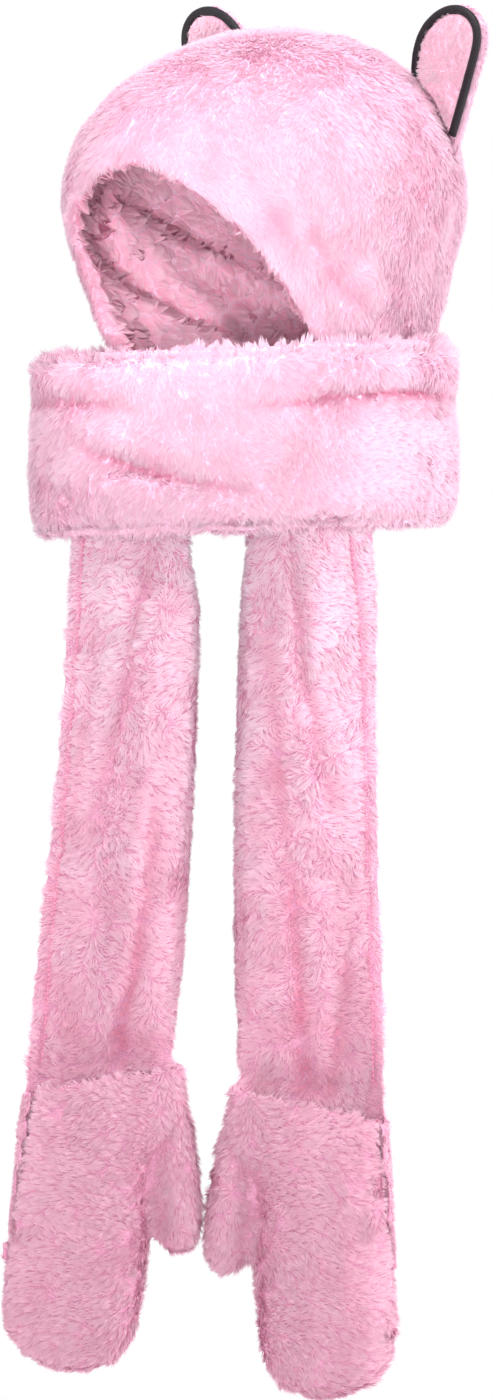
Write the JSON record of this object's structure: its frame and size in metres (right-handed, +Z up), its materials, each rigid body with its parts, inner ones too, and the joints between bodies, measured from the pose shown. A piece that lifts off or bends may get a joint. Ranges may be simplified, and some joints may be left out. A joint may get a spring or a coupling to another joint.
{
  "type": "plush hooded scarf with mittens",
  "caption": "Plush hood with ears that goes over into a scarf wound round the neck, with hanging tails that end in mittens.",
  "frame": {"origin": "where the top of the wearer's head meets the inside of the hood's crown", "axes": "+Z up, -Y the way the wearer's body faces, +X towards the wearer's left; the head is turned 42 degrees to the wearer's right"},
  "size_m": [0.3173, 0.2779, 0.9142],
  "materials": {
    "plush_pale": "long soft plush pile",
    "plush_rose": "long soft plush pile",
    "plush_ear": "short plush pile",
    "dark_piping": "smooth woven piping"
  },
  "bodies": {
    "root": {"hood": "plush_pale", "ear_back_left": "plush_pale", "ear_trim_left": "dark_piping", "ear_panel_left": "plush_ear", "ear_back_right": "plush_pale", "ear_trim_right": "dark_piping", "ear_panel_right": "plush_ear", "neck_wrap": "plush_pale", "tail_right": "plush_rose", "mitten_back_right": "plush_rose", "mitten_front_right": "plush_rose", "tail_left": "plush_rose", "mitten_back_left": "plush_rose", "mitten_front_left": "plush_rose"}
  },
  "joints": []
}
